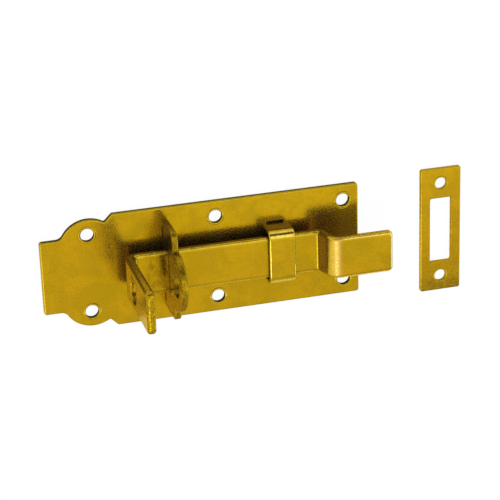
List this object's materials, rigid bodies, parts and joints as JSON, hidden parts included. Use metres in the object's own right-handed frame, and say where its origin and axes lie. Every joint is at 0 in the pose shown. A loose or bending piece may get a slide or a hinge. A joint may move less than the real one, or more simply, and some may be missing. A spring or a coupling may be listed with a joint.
{
  "type": "padbolt",
  "caption": "Cranked sliding padbolt on a shaped base plate, with a padlock tab, an upright padlock staple, a guide strap and a separate slotted strike plate.",
  "frame": {"origin": "middle of the base plate's back face", "axes": "+X along the bolt towards the strike plate, +Y across the plate, +Z out of the door, away from the plate's back face"},
  "size_m": [0.161, 0.0496, 0.045],
  "materials": {
    "yellow_zinc": "bright zinc plating with yellow passivation on rolled steel"
  },
  "bodies": {
    "plate": {"base_plate": "yellow_zinc", "padlock_staple": "yellow_zinc", "guide_strap": "yellow_zinc", "strike_plate": "yellow_zinc"},
    "bolt": {"bolt": "yellow_zinc"}
  },
  "joints": [
    {"name": "bolt_slide", "type": "slide", "parent": "plate", "child": "bolt", "axis": [1, 0, 0], "range_m": [-0.0088, 0.012]}
  ]
}
